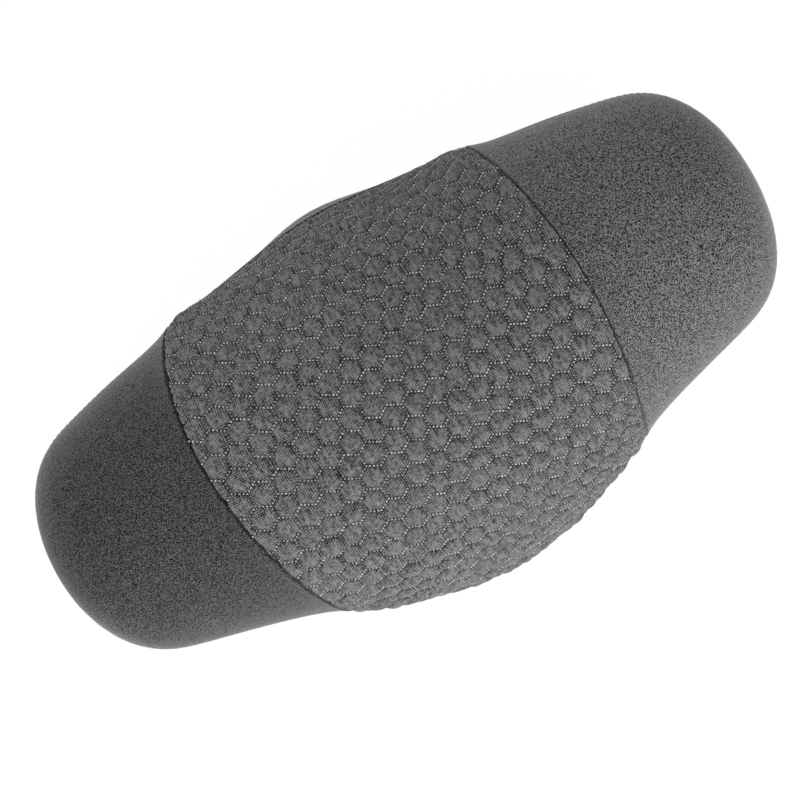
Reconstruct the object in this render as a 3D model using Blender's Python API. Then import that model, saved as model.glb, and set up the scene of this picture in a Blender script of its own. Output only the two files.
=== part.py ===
# Neck roll pillow: a soft filled roll in a sewn cover, 30 cm long and about 15 cm thick.
# It lies on its back along X, with the quilted side up and a small flat spot underneath.
# The front of the cover is a quilted middle between two plain ends, and the back is one plain piece.
# A seam runs round the whole edge, where the front meets the back.
# Every surface is worked out from one body shape, moved in or out along its normal.
# Lengths are in metres.

import math

import bmesh
import bpy
from mathutils import Vector

# Body: the outer face of the plain cover
LENGTH = 0.300                 # tip to tip
MIDDLE_HALF_WIDTH = 0.0741     # half of the width across the middle
TAPER = 0.2513                 # how much the roll narrows for each metre towards its ends
MIDDLE_ROUNDING = 0.0256       # rounds the widest place, so that the two tapers don't meet in a ridge
END_ROUNDING = 0.0365          # length of each rounded end
END_SQUARENESS = 3.6           # 2 is an ellipse, and more is squarer
CROWN_EXTRA = 0.0043           # the middle swells this much more on the quilted side
BACK_FLATTENING = 0.006        # and this much less on its back
SWELL_REACH = 0.0606           # how far along the roll the swell of the middle reaches
SIDE_BOW = 0.0056              # the two ends lie this far to +Y of the middle
END_DROP = 0.004               # the axis at the ends lies this much lower than at the middle
REST_FLATTENING = 0.003        # what the roll is pressed flat by where it lies

# Cover
COVER_THICKNESS = 0.0015
FILLING_CLEARANCE = 0.0003
SEAM_GAP = 0.0015
THREAD_DIAMETER = 0.0009
THREAD_DEPTH = 0.0003          # from the cover's outer face down to the thread's middle
THREAD_CLEARANCE = 0.0004
EDGE_SEAM_LIFT = 0.0085        # the edge seam's height over the axis, at the middle

# Quilted middle
QUILT_HALF_LENGTH = 0.0630     # from the middle to a cross seam, at the edge seam
CROSS_SEAM_BULGE = 0.0085      # the cross seams bow outwards this much
CROSS_SEAM_TURN = math.radians(17.0)   # where they bow the most, from the crown towards +Y
QUILT_GROOVE = 0.0016          # the quilting's grooves stand this high over the plain cover
QUILT_DOME = 0.0014            # and the middles of its cells stand this much higher again
CELL_WIDTH = 0.0078            # one hexagon across its flats, along the roll
ROW_STEP = 0.0068              # from one row of hexagons to the next, round the roll

# Meshing
GIRTH_STEPS = 44
BODY_STEPS = 16
END_STEPS = 5
SEAM_STEPS = 180
THREAD_STEPS = 30
PROBE = 1e-4                   # step for measuring the slope of the surface

STRAIGHT = LENGTH / 2 - END_ROUNDING
LIE = MIDDLE_HALF_WIDTH - BACK_FLATTENING - REST_FLATTENING   # height of the axis at the middle
REACH = LENGTH                 # the shapes used for cutting extend this far, past everything
HUB = MIDDLE_HALF_WIDTH / 3    # and inside this radius, all within the filling, their ends are plain
SHEET_DEPTH = 4 * COVER_THICKNESS      # the quilted sheet starts this deep, well inside the filling


def clear_scene():
    for thing in list(bpy.data.objects):
        bpy.data.objects.remove(thing, do_unlink=True)


# Shape of the body

def swell(x):
    """1 at the middle of the roll, falling to 0 at its ends."""
    return math.exp(-(abs(x) / SWELL_REACH) ** 3)


def along(a):
    """Place along the roll: a is 0 at the middle, 1 where an end starts to round, 2 at a tip."""
    if abs(a) <= 1:
        return a * STRAIGHT
    left = 1 - (2 - abs(a)) ** 2
    return math.copysign(STRAIGHT + left * END_ROUNDING, a)


def half_width(x):
    """Half of the roll's width at x."""
    width = MIDDLE_HALF_WIDTH - TAPER * (math.hypot(x, MIDDLE_ROUNDING) - MIDDLE_ROUNDING)
    into_end = max(0.0, (abs(x) - STRAIGHT) / END_ROUNDING)
    return width * math.sqrt(max(0.0, 1 - min(1.0, into_end) ** END_SQUARENESS))


def axis_at(x):
    """Middle of the roll's section at x, as (y, z)."""
    return SIDE_BOW * (1 - swell(x)), LIE - END_DROP * (1 - swell(x))


def section_point(a, turn):
    """Point of the body at place a along it, turned from the crown towards +Y."""
    x = along(a)
    y, z = axis_at(x)
    width = half_width(x)
    if math.cos(turn) > 0:
        height = width + CROWN_EXTRA * swell(x)
    else:
        height = width - BACK_FLATTENING * swell(x)
    return Vector((x, y + width * math.sin(turn), z + height * math.cos(turn)))


def body_point(a, turn, offset):
    """The same point moved outwards along the normal, and kept over the surface that the roll lies on."""
    point = section_point(a, turn)
    if abs(a) > 2 - PROBE:
        normal = Vector((math.copysign(1, a), 0, 0))
    else:
        lengthwise = section_point(a + PROBE, turn) - section_point(a - PROBE, turn)
        girthwise = section_point(a, turn + PROBE) - section_point(a, turn - PROBE)
        normal = lengthwise.cross(girthwise).normalized()
    point += normal * offset
    point.z = max(point.z, -min(offset, 0.0))
    return point


def edge_seam_height(x):
    """Height of the edge seam at x."""
    return axis_at(x)[1] + EDGE_SEAM_LIFT * swell(x)


def edge_seam_turn(x):
    """Angle from the crown to the edge seam at x."""
    height = half_width(x) + CROWN_EXTRA * swell(x)
    lift = EDGE_SEAM_LIFT * swell(x)
    return math.acos(min(1.0, lift / height)) if height > 0 else math.pi / 2


def cross_seam_place(turn):
    """Distance of a cross seam from the middle of the roll, at an angle from the crown."""
    away = turn - CROSS_SEAM_TURN
    away = abs(math.atan2(math.sin(away), math.cos(away)))
    return QUILT_HALF_LENGTH + CROSS_SEAM_BULGE * math.cos(min(away, math.pi / 2)) ** 2


# Tools

def make_object(name, bm):
    """Turn a bmesh into a named object with smooth shading."""
    bmesh.ops.recalc_face_normals(bm, faces=bm.faces[:])
    mesh = bpy.data.meshes.new(name)
    bm.to_mesh(mesh)
    bm.free()
    mesh.shade_smooth()
    thing = bpy.data.objects.new(name, mesh)
    bpy.context.scene.collection.objects.link(thing)
    return thing


def as_cutter(thing):
    thing.hide_render = True
    thing.display_type = "WIRE"
    return thing


def cut(thing, cutter, operation):
    boolean = thing.modifiers.new(operation.lower() + "_" + cutter.name, "BOOLEAN")
    boolean.operation = operation
    boolean.solver = "EXACT"
    boolean.object = cutter


def give_material(thing, colour, roughness):
    material = bpy.data.materials.new(thing.name)
    material.use_nodes = True
    shader = material.node_tree.nodes["Principled BSDF"]
    shader.inputs["Base Color"].default_value = (*colour, 1.0)
    shader.inputs["Roughness"].default_value = roughness
    shader.inputs["Metallic"].default_value = 0.0
    thing.data.materials.append(material)


def bridge(bm, ring_a, ring_b):
    """Join two rings of as many vertices, split the same way on every surface so that they stay clear."""
    for i in range(len(ring_a)):
        j = (i + 1) % len(ring_a)
        bm.faces.new((ring_a[i], ring_a[j], ring_b[j]))
        bm.faces.new((ring_a[i], ring_b[j], ring_b[i]))


def fan(bm, ring, tip):
    """Close a ring of vertices with faces that meet at a tip."""
    for i in range(len(ring)):
        bm.faces.new((ring[i], ring[(i + 1) % len(ring)], tip))


def body_stations():
    """Places along the roll where its surfaces have a ring of vertices, without the two tips."""
    places = [i / BODY_STEPS * 2 - 1 for i in range(BODY_STEPS + 1)]
    for i in range(1, END_STEPS):
        places += [1 + i / END_STEPS, -1 - i / END_STEPS]
    return sorted(places)


def body_solid(name, offset):
    """The whole roll, grown or shrunk by an offset."""
    bm = bmesh.new()
    rings = []
    for a in body_stations():
        turns = [2 * math.pi * i / GIRTH_STEPS for i in range(GIRTH_STEPS)]
        rings.append([bm.verts.new(body_point(a, turn, offset)) for turn in turns])
    for ring_a, ring_b in zip(rings, rings[1:]):
        bridge(bm, ring_a, ring_b)
    fan(bm, rings[0], bm.verts.new(body_point(-2, 0, offset)))
    fan(bm, rings[-1], bm.verts.new(body_point(2, 0, offset)))
    return make_object(name, bm)


def seam_stations():
    """Places along X where the edge seam has a point, from beyond one tip to beyond the other."""
    places = [along(a) for a in body_stations()]
    return [-REACH, -LENGTH / 2] + places + [LENGTH / 2, REACH]


def half_space(name, side):
    """What lies over the edge seam, where side is 1, or under it, where side is -1."""
    bm = bmesh.new()
    edge = [(x, edge_seam_height(x) + side * SEAM_GAP / 2) for x in seam_stations()]
    outline = edge + [(REACH, side * REACH), (-REACH, side * REACH)]
    face = bm.faces.new([bm.verts.new((x, -REACH, z)) for x, z in outline])
    pushed = bmesh.ops.extrude_face_region(bm, geom=[face])["geom"]
    moved = [v for v in pushed if isinstance(v, bmesh.types.BMVert)]
    bmesh.ops.translate(bm, verts=moved, vec=(0, 2 * REACH, 0))
    return as_cutter(make_object(name, bm))


def seam_axis():
    """The line that the cross seams' angles are measured about, as (y, z)."""
    return axis_at(QUILT_HALF_LENGTH)


def length_of_roll(name, low, high):
    """A stretch of the roll between two places that may change with the angle from the crown."""
    bm = bmesh.new()
    y, z = seam_axis()
    rings = []
    for radius, place in ((REACH, low), (HUB, low), (HUB, high), (REACH, high)):
        ring = []
        for i in range(SEAM_STEPS):
            turn = 2 * math.pi * i / SEAM_STEPS
            across = radius * math.sin(turn)
            up = radius * math.cos(turn)
            ring.append(bm.verts.new((place(turn), y + across, z + up)))
        rings.append(ring)
    outer_low, inner_low, inner_high, outer_high = rings
    bridge(bm, outer_low, inner_low)
    fan(bm, inner_low, bm.verts.new((low(CROSS_SEAM_TURN), y, z)))
    fan(bm, inner_high, bm.verts.new((high(CROSS_SEAM_TURN), y, z)))
    bridge(bm, inner_high, outer_high)
    bridge(bm, outer_high, outer_low)
    return as_cutter(make_object(name, bm))


# Filling

def build_filling():
    filling = body_solid("foam_filling", -COVER_THICKNESS - FILLING_CLEARANCE)
    give_material(filling, (0.78, 0.76, 0.70), 0.9)


# Cover

def quilt_turn(x, distance):
    """Angle from the crown of a place on the quilted panel, from its distance round the roll."""
    mean_radius = half_width(x) + CROWN_EXTRA * swell(x) / 2 + QUILT_GROOVE
    return distance / mean_radius


def quilt_sheet(name):
    """A thick sheet of hexagonal cells, larger than the panel that is cut from it."""
    bm = bmesh.new()
    top = {}
    bottom = {}
    half_columns = math.ceil((QUILT_HALF_LENGTH + CROSS_SEAM_BULGE) / CELL_WIDTH) + 1
    half_rows = math.ceil(math.pi / 2 * (MIDDLE_HALF_WIDTH + CROWN_EXTRA) / ROW_STEP) + 2
    point_half = ROW_STEP * 2 / 3
    side_half = ROW_STEP / 3
    corners = ((0, point_half), (0.5, side_half), (0.5, -side_half),
               (0, -point_half), (-0.5, -side_half), (-0.5, side_half))
    for row in range(-half_rows, half_rows + 1):
        for column in range(-half_columns, half_columns + 1):
            across = column + (0.5 if row % 2 else 0.0)
            ring_top = []
            ring_bottom = []
            for side, up in corners:
                key = (round(2 * (across + side)), round(3 * (row * ROW_STEP + up) / ROW_STEP))
                if key not in top:
                    x = (across + side) * CELL_WIDTH
                    turn = quilt_turn(x, row * ROW_STEP + up)
                    place = x / STRAIGHT
                    top[key] = bm.verts.new(body_point(place, turn, QUILT_GROOVE))
                    bottom[key] = bm.verts.new(body_point(place, turn, -SHEET_DEPTH))
                ring_top.append(top[key])
                ring_bottom.append(bottom[key])
            x = across * CELL_WIDTH
            turn = quilt_turn(x, row * ROW_STEP)
            middle = bm.verts.new(body_point(x / STRAIGHT, turn, QUILT_GROOVE + QUILT_DOME))
            fan(bm, ring_top, middle)
            bm.faces.new(ring_bottom)
    below = {top[key]: bottom[key] for key in top}
    for edge in [edge for edge in bm.edges if edge.is_boundary and edge.verts[0] in below]:
        a, b = edge.verts
        bm.faces.new((a, b, below[b], below[a]))
    return make_object(name, bm)


def build_cover():
    """Cut the panels out of the shell between the body and the filling."""
    inside = as_cutter(body_solid("inside_of_cover", -COVER_THICKNESS))
    front = half_space("front_half", 1)
    back = half_space("back_half", -1)

    def seam_side(turn, shift):
        return cross_seam_place(turn) + shift * SEAM_GAP / 2

    middle = length_of_roll("middle_stretch", lambda t: -seam_side(t, -1), lambda t: seam_side(t, -1))
    left = length_of_roll("left_stretch", lambda t: -REACH, lambda t: -seam_side(t, 1))
    right = length_of_roll("right_stretch", lambda t: seam_side(t, 1), lambda t: REACH)

    quilt = quilt_sheet("quilted_front_panel")
    cut(quilt, front, "INTERSECT")
    cut(quilt, inside, "DIFFERENCE")
    cut(quilt, middle, "INTERSECT")
    give_material(quilt, (0.13, 0.13, 0.135), 0.85)

    for name, region in (("left_end_panel", left), ("right_end_panel", right)):
        end = body_solid(name, 0.0)
        cut(end, front, "INTERSECT")
        cut(end, inside, "DIFFERENCE")
        cut(end, region, "INTERSECT")
        give_material(end, (0.085, 0.085, 0.09), 0.9)

    back_panel = body_solid("back_panel", 0.0)
    cut(back_panel, back, "INTERSECT")
    cut(back_panel, inside, "DIFFERENCE")
    give_material(back_panel, (0.085, 0.085, 0.09), 0.9)


# Sewing threads

def thread(name, points, closed):
    """A round thread through points, in the gap between two panels."""
    path = bpy.data.curves.new(name, "CURVE")
    path.dimensions = "3D"
    path.bevel_depth = THREAD_DIAMETER / 2
    path.bevel_resolution = 1
    path.use_fill_caps = not closed
    line = path.splines.new("POLY")
    line.points.add(len(points) - 1)
    for slot, point in zip(line.points, points):
        slot.co = (*point, 1.0)
    line.use_cyclic_u = closed
    thing = bpy.data.objects.new(name, path)
    bpy.context.scene.collection.objects.link(thing)
    give_material(thing, (0.012, 0.012, 0.013), 0.8)


def on_cross_seam(side, turn):
    """Point of the cross seam at an angle from the crown, on the left where side is -1."""
    y, z = seam_axis()
    x = cross_seam_place(turn)
    for _ in range(3):
        point = body_point(x / STRAIGHT, turn, 0.0)
        x = cross_seam_place(math.atan2(point.y - y, point.z - z))
    return body_point(side * x / STRAIGHT, turn, -THREAD_DEPTH)


def build_threads():
    stations = [-2] + body_stations() + [2]
    far = [body_point(a, edge_seam_turn(along(a)), -THREAD_DEPTH) for a in stations]
    near = [body_point(a, -edge_seam_turn(along(a)), -THREAD_DEPTH) for a in reversed(stations[1:-1])]
    thread("edge_seam_thread", far + near, True)

    stop = math.asin((THREAD_DIAMETER + THREAD_CLEARANCE) / half_width(QUILT_HALF_LENGTH))
    last = edge_seam_turn(QUILT_HALF_LENGTH) - stop
    for name, side in (("left_cross_seam_thread", -1), ("right_cross_seam_thread", 1)):
        turns = [last * (2 * i / THREAD_STEPS - 1) for i in range(THREAD_STEPS + 1)]
        thread(name, [on_cross_seam(side, turn) for turn in turns], False)


clear_scene()
build_filling()
build_cover()
build_threads()
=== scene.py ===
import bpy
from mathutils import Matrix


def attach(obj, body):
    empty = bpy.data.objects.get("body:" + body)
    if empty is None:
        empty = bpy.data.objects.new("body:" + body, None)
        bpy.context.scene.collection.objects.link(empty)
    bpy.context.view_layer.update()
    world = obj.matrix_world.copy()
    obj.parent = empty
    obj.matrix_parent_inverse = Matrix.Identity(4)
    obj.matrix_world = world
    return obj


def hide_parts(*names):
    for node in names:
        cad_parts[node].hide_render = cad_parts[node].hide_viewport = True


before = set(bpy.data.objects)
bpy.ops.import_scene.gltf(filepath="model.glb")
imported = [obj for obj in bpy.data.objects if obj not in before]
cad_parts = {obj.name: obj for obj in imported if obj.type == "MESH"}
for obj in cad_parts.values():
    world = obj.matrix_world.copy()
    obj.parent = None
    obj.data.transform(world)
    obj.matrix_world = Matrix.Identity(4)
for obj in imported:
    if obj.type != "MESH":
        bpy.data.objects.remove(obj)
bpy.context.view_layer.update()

# Neck roll pillow for a car seat: a foam roll in a sewn knit cover, 30 cm long.
# It lies along X with its quilted side up. Lengths are in metres, angles in radians.

import math

import bmesh
import bpy
import numpy as np
from mathutils import Matrix, Vector
from mathutils.bvhtree import BVHTree

# Camera
# Half a metre above the roll, and a little to its +Y side. The roll lies aslant in the picture.

FRAME_SIZE = 800                       # pixels, both ways
LENS_PIXELS = 1350                     # the lens's focal length, in the picture's pixels
CAMERA_DISTANCE = 0.5184
CAMERA_TILT = math.radians(11.6)       # from straight above towards +Y
CAMERA_YAW = math.radians(3.6)         # and from there towards +X
ROLL_SLANT = math.radians(30.67)       # the roll rises this much to the right in the picture
LOOKED_AT = Vector((-0.0052, -0.0020, 0.062))

view_data = bpy.data.cameras.new("camera")
view_data.sensor_width = 36.0
view_data.lens = view_data.sensor_width * LENS_PIXELS / FRAME_SIZE
camera = bpy.data.objects.new("camera", view_data)
bpy.context.scene.collection.objects.link(camera)
turned = Matrix.Rotation(-CAMERA_TILT, 4, "X") @ Matrix.Rotation(CAMERA_YAW, 4, "Y")
turned = turned @ Matrix.Rotation(-ROLL_SLANT, 4, "Z")
camera.matrix_world = (Matrix.Translation(LOOKED_AT) @ turned
                       @ Matrix.Translation((0, 0, CAMERA_DISTANCE)))
bpy.context.scene.camera = camera

# Studio
# A white table that runs on past the picture, one large soft lamp beside the near side of the roll
# and a weaker one overhead. The table shows white to the camera, and keeps a faint shadow.

TABLE_SIZE = 4.0
TABLE_COLOUR = "#fafafa"
TABLE_WHITENING = 0.95                 # how much of what the camera sees of the table is plain white
TABLE_GLOW = 1.03                      # and how bright that white is
SIDE_LAMP_POWER = 8.2                  # watts
SIDE_LAMP_SIZE = 0.8
SIDE_LAMP_PLACE = Vector((0.25, -1.1, 0.45))
TOP_LAMP_POWER = 5.0
TOP_LAMP_SIZE = 1.2
TOP_LAMP_PLACE = Vector((-0.6, -0.05, 1.1))
SURROUNDINGS = 0.40                    # how strongly the white room lights the roll


def linear(hex_colour):
    """An sRGB hex colour as linear red, green, blue and alpha."""
    channels = [int(hex_colour[i:i + 2], 16) / 255 for i in (1, 3, 5)]
    return [c / 12.92 if c <= 0.04045 else ((c + 0.055) / 1.055) ** 2.4 for c in channels] + [1.0]


def new_material(name):
    """A material with its Principled shader, ready for more nodes."""
    material = bpy.data.materials.new(name)
    material.use_nodes = True
    return material, material.node_tree.nodes["Principled BSDF"]


def add(material, kind, inputs=None, **settings):
    """Add a node with its settings. An input is a value, or the output socket that feeds it."""
    node = material.node_tree.nodes.new(kind)
    for name, value in settings.items():
        setattr(node, name, value)
    for name, value in (inputs or {}).items():
        if isinstance(value, bpy.types.NodeSocket):
            material.node_tree.links.new(value, node.inputs[name])
        else:
            node.inputs[name].default_value = value
    return node


def feed(material, source, shader, name):
    """Link an output socket to an input of a shader."""
    material.node_tree.links.new(source, shader.inputs[name])


bpy.ops.object.select_all(action="DESELECT")
bpy.ops.mesh.primitive_plane_add(size=TABLE_SIZE, location=(0, 0, 0))
table_top = bpy.context.object
table_top.name = "table_top"

# Matt white laminate. It throws no gloss, so the eye sees only white and the roll's soft shadow.
paint, shader = new_material("matt_white_table")
shader.inputs["Base Color"].default_value = linear(TABLE_COLOUR)
shader.inputs["Roughness"].default_value = 1.0
shader.inputs["Specular IOR Level"].default_value = 0.0
ray = add(paint, "ShaderNodeLightPath")
white = add(paint, "ShaderNodeEmission", {"Color": (1, 1, 1, 1), "Strength": TABLE_GLOW})
seen = add(paint, "ShaderNodeMath", {0: ray.outputs["Is Camera Ray"], 1: TABLE_WHITENING},
           operation="MULTIPLY")
mixed = add(paint, "ShaderNodeMixShader", {0: seen.outputs[0], 1: shader.outputs[0], 2: white.outputs[0]})
feed(paint, mixed.outputs[0], paint.node_tree.nodes["Material Output"], "Surface")
table_top.data.materials.append(paint)

for name, place, power, size in (("side_lamp", SIDE_LAMP_PLACE, SIDE_LAMP_POWER, SIDE_LAMP_SIZE),
                                 ("top_lamp", TOP_LAMP_PLACE, TOP_LAMP_POWER, TOP_LAMP_SIZE)):
    lamp_data = bpy.data.lights.new(name, "AREA")
    lamp_data.energy = power
    lamp_data.size = size
    lamp = bpy.data.objects.new(name, lamp_data)
    bpy.context.scene.collection.objects.link(lamp)
    lamp.location = place
    lamp.rotation_euler = (LOOKED_AT - place).to_track_quat("-Z", "Y").to_euler()

world = bpy.data.worlds.new("studio")
bpy.context.scene.world = world
world.use_nodes = True
sky = world.node_tree.nodes["Background"]
paths = world.node_tree.nodes.new("ShaderNodeLightPath")
strength = world.node_tree.nodes.new("ShaderNodeMix")
strength.inputs["A"].default_value = SURROUNDINGS
strength.inputs["B"].default_value = 1.0
world.node_tree.links.new(paths.outputs["Is Camera Ray"], strength.inputs["Factor"])
world.node_tree.links.new(strength.outputs["Result"], sky.inputs["Strength"])
sky.inputs["Color"].default_value = (1, 1, 1, 1)
bpy.context.scene.view_settings.view_transform = "Standard"

# Foam filling
# One block of soft polyurethane foam, moulded to shape, open-celled and off-white. It gives the roll its
# form: round over the crown, flatter at the back, thick in the middle, with round tips. The cover is sewn
# tight over it along the seams, and the foam swells a little between them.

LENGTH = 0.300
MIDDLE_HALF_WIDTH = 0.0741
TAPER = 0.2513                         # how fast the half width falls towards the ends
MIDDLE_ROUNDING = 0.0256               # the widest place is rounded off over this length
END_ROUNDING = 0.0365                  # the length of a rounded tip
END_SQUARENESS = 3.6                   # 2 would be an ellipse, and more is squarer
CROWN_EXTRA = 0.0043                   # the middle stands this much higher than it is half wide
BACK_FLATTENING = 0.006                # and its back is this much flatter
SWELL_REACH = 0.0606                   # the middle's swelling has faded this far along the roll
SIDE_BOW = 0.0056                      # the ends' axis lies this far to +Y of the middle's
END_DROP = 0.004                       # and this far below it
REST_FLATTENING = 0.003                # the depth of the flat spot that the roll lies on
EDGE_SEAM_LIFT = 0.0085                # the edge seam lies this far over the axis at the middle

STRAIGHT = LENGTH / 2 - END_ROUNDING
LIE = MIDDLE_HALF_WIDTH - BACK_FLATTENING - REST_FLATTENING
PROBE = 1e-4                           # the step over which slopes are measured


def swell(x):
    """1 at the middle of the roll, falling to 0 at its ends."""
    return np.exp(-(np.abs(x) / SWELL_REACH) ** 3)


def along(a):
    """Place along the roll: a is 0 at the middle, 1 where an end starts to round, 2 at a tip."""
    rounded = STRAIGHT + (1 - (2 - np.abs(a)) ** 2) * END_ROUNDING
    return np.where(np.abs(a) <= 1, a * STRAIGHT, np.sign(a) * rounded)


def place_of(x):
    """The inverse of along."""
    into_end = np.clip((np.abs(x) - STRAIGHT) / END_ROUNDING, 0, 1)
    return np.where(into_end > 0, np.sign(x) * (2 - np.sqrt(1 - into_end)), x / STRAIGHT)


def half_width(x):
    width = MIDDLE_HALF_WIDTH - TAPER * (np.hypot(x, MIDDLE_ROUNDING) - MIDDLE_ROUNDING)
    into_end = np.clip((np.abs(x) - STRAIGHT) / END_ROUNDING, 0, 1)
    return width * np.sqrt(1 - into_end ** END_SQUARENESS)


def axis_height(x):
    return LIE - END_DROP * (1 - swell(x))


def crown_height(x):
    return axis_height(x) + half_width(x) + CROWN_EXTRA * swell(x)


def section(a, turn):
    """Points of the roll at places a along it, turned from the crown towards +Y."""
    x = along(a)
    width = half_width(x)
    height = width + np.where(np.cos(turn) > 0, CROWN_EXTRA, -BACK_FLATTENING) * swell(x)
    y = SIDE_BOW * (1 - swell(x)) + width * np.sin(turn)
    z = axis_height(x) + height * np.cos(turn)
    return np.stack([x + 0 * turn, y, z], axis=-1)


def roll_surface(x, turn, lift):
    """Points of the roll, moved outwards by lift, and kept over the table."""
    a = np.clip(place_of(x), -2 + PROBE, 2 - PROBE)
    points = section(a, turn)
    lengthwise = section(a + PROBE, turn) - section(a - PROBE, turn)
    girthwise = section(a, turn + PROBE) - section(a, turn - PROBE)
    normals = np.cross(lengthwise, girthwise)
    normals /= np.linalg.norm(normals, axis=-1, keepdims=True) + 1e-15
    lift = np.asarray(lift) + 0 * x
    points = points + normals * lift[..., None]
    points[..., 2] = np.maximum(points[..., 2], -np.minimum(lift, 0))
    return points


def edge_turn(x):
    """Angle from the crown to the edge seam."""
    height = half_width(x) + CROWN_EXTRA * swell(x)
    return np.arccos(np.clip(EDGE_SEAM_LIFT * swell(x) / np.maximum(height, 1e-9), 0, 1))


CROSS_SEAM_PLACE = 0.0630              # from the middle of the roll to a cross seam at its sides
CROSS_SEAM_BULGE = 0.0085              # the seam bows out this much more over the crown
CROSS_SEAM_TURN = math.radians(17.0)   # and most of all this far round from it
SKEW = 0.0302                          # the quilted middle went in askew by this slope
SKEW_SHIFT = 0.0017                    # and this far to the right


def cross_seam(side, turn):
    """x of a cross seam at an angle from the crown, on the left where side is -1."""
    away = np.minimum(np.abs(turn - CROSS_SEAM_TURN), math.pi / 2)
    x = side * (CROSS_SEAM_PLACE + CROSS_SEAM_BULGE * np.cos(away) ** 2)
    return x - SKEW * half_width(x) * np.sin(turn) + SKEW_SHIFT


REMESH_SIZE = 0.005
MERGING = 1e-6                         # points closer than this become one
PRESSURE = 400.0
SKIN_MASS = 0.004
SKIN_STIFFNESS = 5.0
SKIN_BENDING = 0.05
FRAMES = 20
SWELLING_LIMIT = 0.0016                # no place swells further than this
NARROWEST = 0.004                      # the roll counts as at least this wide where its tips close
PINNED_WIDTH = 0.0025                  # the cover is held fast this far from a seam
PIN_FADE = 0.009                       # and free this much further on
HELD_BELOW = 0.006                     # and it is held by the table up to this height
FIELD_SHAPE = (65, 96)                 # places along the roll and round it where the swelling is read
FIELD_REACH = 1.75                     # the first and last of them, in the measure of "along"
FIELD_FADE = 0.4                       # the swelling fades out over this last stretch
SMOOTHING_PASSES = 3
FAR_SLACK = 0.0015                     # beyond the cross seams the far side sinks in by this much
FAR_SLACK_PLACE = 0.014                # most of all this far beyond them
FAR_SLACK_SPREAD = 0.012
NEAR_SHIFT = 0.0009                    # the near side is this much slacker on the left, fuller on the right
NEAR_SHIFT_REACH = 0.015


def angle_of(points):
    """Angle from the crown of points of the roll."""
    x = points[:, 0]
    return np.arctan2(points[:, 1] - SIDE_BOW * (1 - swell(x)), points[:, 2] - axis_height(x))


def pin_weights(points):
    """1 beside the seams and on the table, falling to 0 between them."""
    x, turn = points[:, 0], angle_of(points)
    width = np.maximum(half_width(x), NARROWEST)
    from_edge_seam = width * np.abs(np.abs(turn) - edge_turn(x))
    from_cross_seam = np.minimum(np.abs(x - cross_seam(-1, turn)), np.abs(x - cross_seam(1, turn)))
    behind = width * np.maximum(np.abs(turn) - edge_turn(x), 0)
    away = np.minimum(from_edge_seam, np.hypot(from_cross_seam, behind))
    weights = np.clip(1 - (away - PINNED_WIDTH) / PIN_FADE, 0, 1)
    return np.where(points[:, 2] < HELD_BELOW, 1.0, weights)


def slack(points):
    """How far the far side of the plain ends sinks in, and the near side gives way on its left."""
    x, turn = points[:, 0], angle_of(points)
    beyond = np.maximum(cross_seam(-1, turn) - x, x - cross_seam(1, turn))
    hollow = (beyond > 0) * np.exp(-((beyond - FAR_SLACK_PLACE) / FAR_SLACK_SPREAD) ** 2)
    far = FAR_SLACK * hollow * np.clip(np.sin(turn), 0, 1) ** 2
    return far - NEAR_SHIFT * np.tanh(x / NEAR_SHIFT_REACH) * np.clip(-np.sin(turn), 0, 1) ** 2


def coordinates(mesh):
    values = np.empty(3 * len(mesh.vertices), dtype=np.float32)
    mesh.vertices.foreach_get("co", values)
    return values.reshape(-1, 3).astype(float)


def as_evaluated(piece):
    """Replace a piece's mesh with what its modifiers make of it."""
    made = bpy.data.meshes.new_from_object(piece.evaluated_get(bpy.context.evaluated_depsgraph_get()))
    piece.modifiers.clear()
    piece.data = made


# The block is blown up a little as cloth that is pinned along the seams and on the table.
foam = bpy.data.objects.new("moulded_foam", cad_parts["foam_filling"].data.copy())
bpy.context.scene.collection.objects.link(foam)
bm = bmesh.new()
bm.from_mesh(foam.data)
bmesh.ops.remove_doubles(bm, verts=bm.verts[:], dist=MERGING)
bm.to_mesh(foam.data)
bm.free()
remesh = foam.modifiers.new("even_faces", "REMESH")
remesh.mode = "VOXEL"
remesh.voxel_size = REMESH_SIZE
as_evaluated(foam)
at_rest = coordinates(foam.data)
foam_faces = [list(face.vertices) for face in foam.data.polygons]
rest_tree = BVHTree.FromPolygons(at_rest.tolist(), foam_faces)
pins = foam.vertex_groups.new(name="sewn_down")
for index, weight in enumerate(pin_weights(at_rest)):
    if weight > 0:
        pins.add([index], float(weight), "REPLACE")
cloth = foam.modifiers.new("cover", "CLOTH")
cloth.settings.use_pressure = True
cloth.settings.uniform_pressure_force = PRESSURE
cloth.settings.mass = SKIN_MASS
cloth.settings.tension_stiffness = SKIN_STIFFNESS
cloth.settings.compression_stiffness = SKIN_STIFFNESS
cloth.settings.bending_stiffness = SKIN_BENDING
cloth.settings.vertex_group_mass = "sewn_down"
cloth.settings.effector_weights.gravity = 0.0
cloth.point_cache.frame_start = 1
cloth.point_cache.frame_end = FRAMES
for frame_number in range(1, FRAMES + 1):
    bpy.context.scene.frame_set(frame_number)
as_evaluated(foam)
bpy.context.scene.frame_set(1)
moves = coordinates(foam.data) - at_rest
moved = np.linalg.norm(moves, axis=1, keepdims=True)
moves *= SWELLING_LIMIT * np.tanh(moved / SWELLING_LIMIT) / np.maximum(moved, 1e-9)
outwards = np.stack([np.zeros(len(at_rest)), np.sin(angle_of(at_rest)), np.cos(angle_of(at_rest))], axis=1)
moves -= slack(at_rest)[:, None] * outwards
foam.data.vertices.foreach_set("co", (at_rest + moves).astype(np.float32).ravel())
swollen_tree = BVHTree.FromPolygons((at_rest + moves).tolist(), foam_faces)
foam.modifiers.new("smoother", "SUBSURF").levels = 1
foam.modifiers["smoother"].render_levels = 1
as_evaluated(foam)
foam.data.shade_smooth()

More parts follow.
